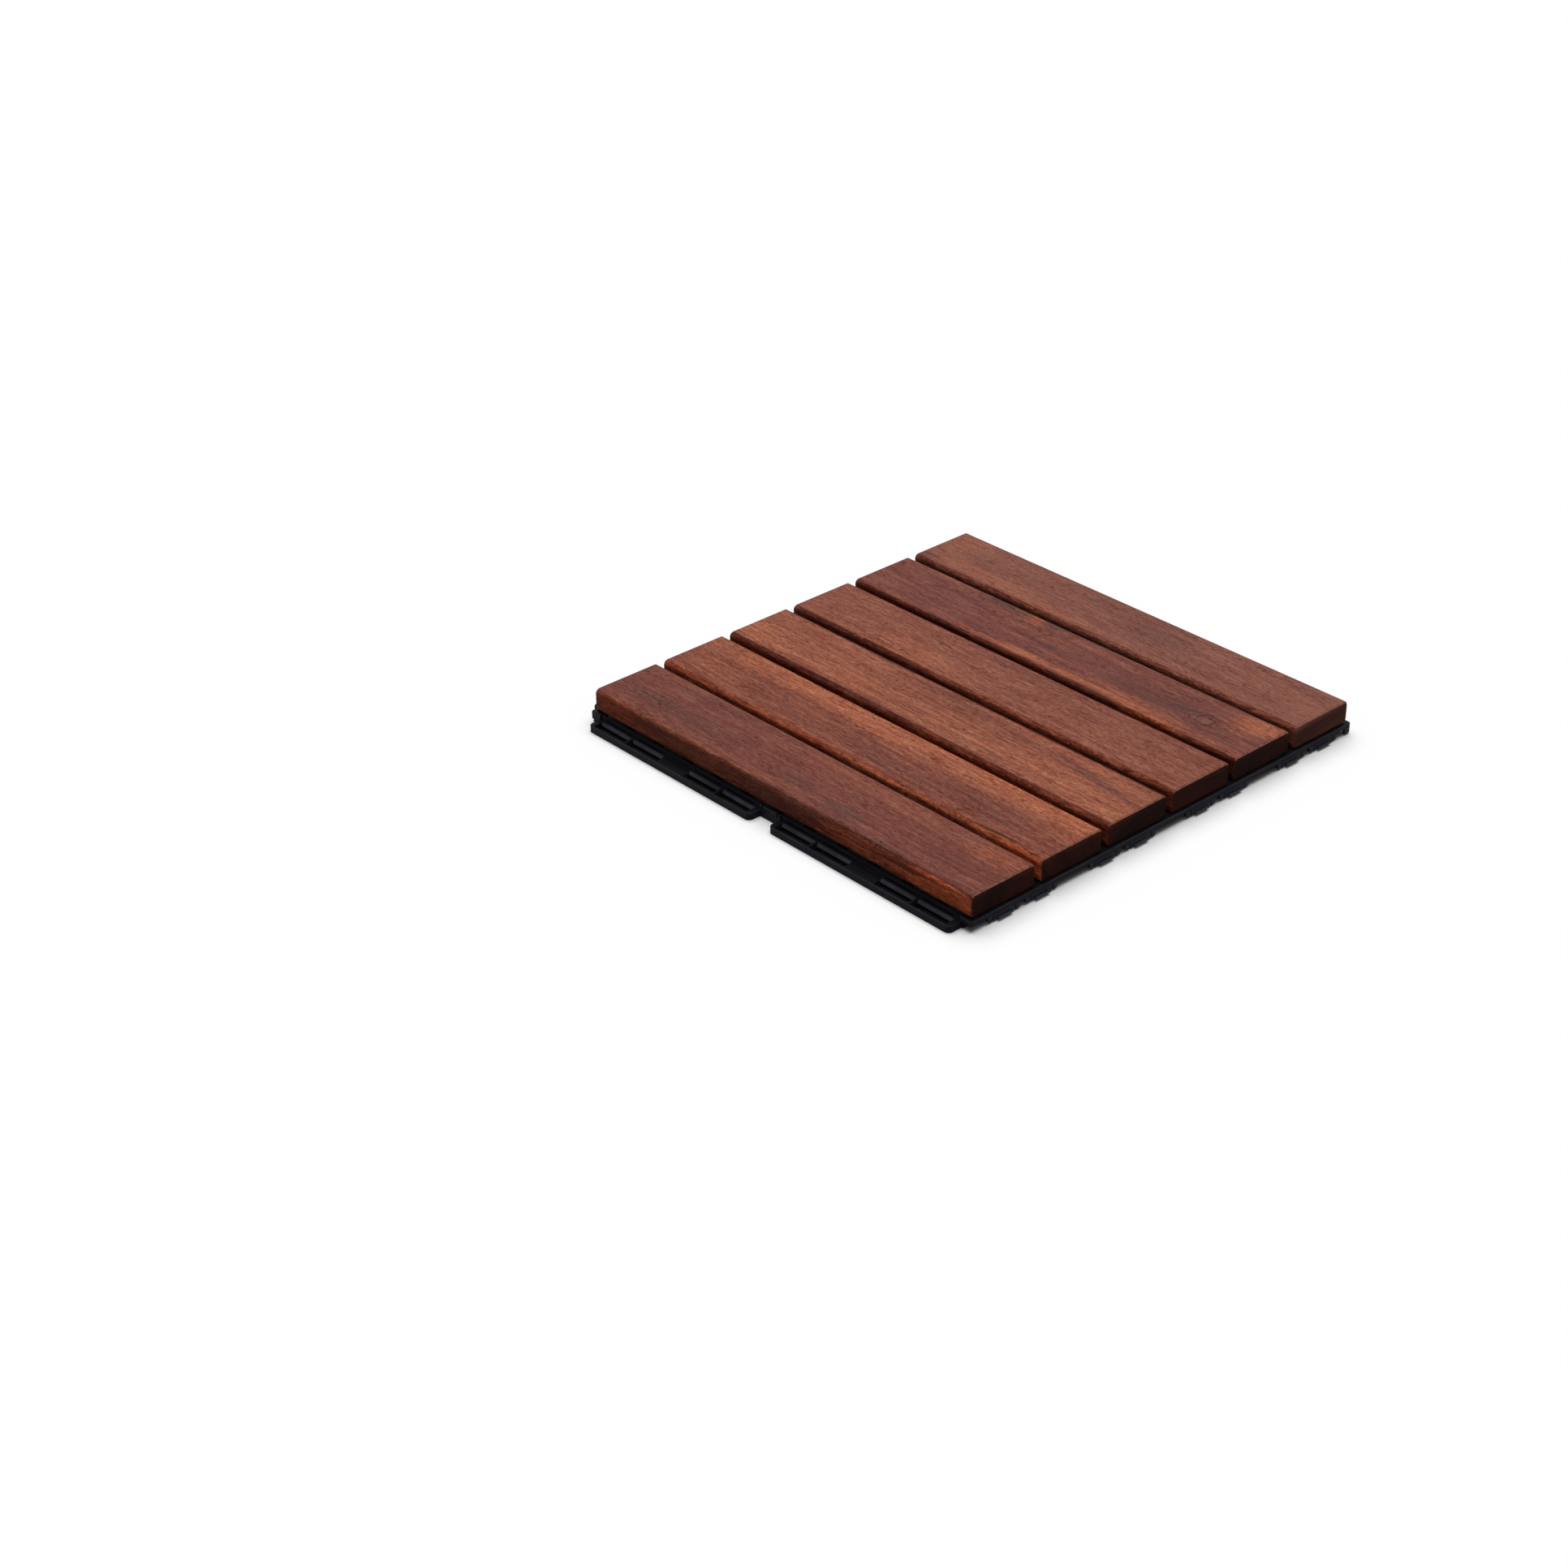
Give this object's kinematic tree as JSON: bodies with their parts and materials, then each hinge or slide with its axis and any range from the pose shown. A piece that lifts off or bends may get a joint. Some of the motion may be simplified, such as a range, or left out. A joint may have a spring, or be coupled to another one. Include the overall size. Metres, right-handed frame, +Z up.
{
  "type": "interlocking deck tile",
  "caption": "Square outdoor floor tile of parallel hardwood slats screwed to a snap-together moulded plastic base grid.",
  "frame": {"origin": "on the ground, under the centre of the slat field", "axes": "+Z up; the slats run along X; the loops are on the -X and -Y sides and the snap tongues on the +X and +Y sides"},
  "size_m": [0.3139, 0.3139, 0.021],
  "materials": {
    "slat_1": "oiled hardwood, stained red-brown",
    "slat_2": "oiled hardwood, stained red-brown",
    "slat_3": "oiled hardwood, stained red-brown",
    "slat_4": "oiled hardwood, stained red-brown",
    "slat_5": "oiled hardwood, stained red-brown",
    "slat_6": "oiled hardwood, stained red-brown",
    "base": "moulded, satin",
    "screws": "bright zinc"
  },
  "bodies": {
    "root": {"base_grid": "base", "slat_1": "slat_1", "slat_2": "slat_2", "slat_3": "slat_3", "slat_4": "slat_4", "slat_5": "slat_5", "slat_6": "slat_6", "screws": "screws"}
  },
  "joints": []
}
